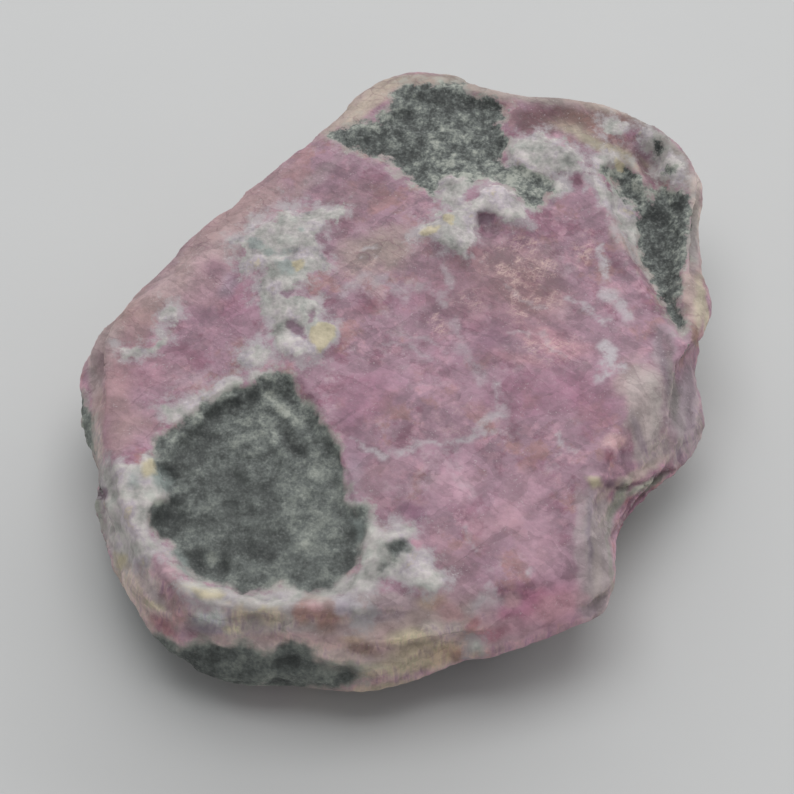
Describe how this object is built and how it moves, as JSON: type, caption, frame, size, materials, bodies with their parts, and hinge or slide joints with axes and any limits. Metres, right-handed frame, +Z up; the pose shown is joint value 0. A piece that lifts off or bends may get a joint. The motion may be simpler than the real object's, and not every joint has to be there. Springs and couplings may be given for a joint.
{
  "type": "raw ruby crystal",
  "caption": "Worn tabular raw ruby crystal, roughly six-sided, with dark mica hollows and pale crust; a free-standing mineral specimen that rests on its flat basal face.",
  "frame": {"origin": "under the middle of the stone's bounding box, on the ground it rests on", "axes": "+Z up, square to the flat basal faces; +Y along the stone's longer side; +X across it"},
  "size_m": [0.0356, 0.039, 0.0098],
  "materials": {
    "ruby_stone": "worn waxy pink-red corundum with satin dark green-grey mica and a pale granular crust"
  },
  "bodies": {
    "root": {"ruby_crystal": "ruby_stone"}
  },
  "joints": []
}
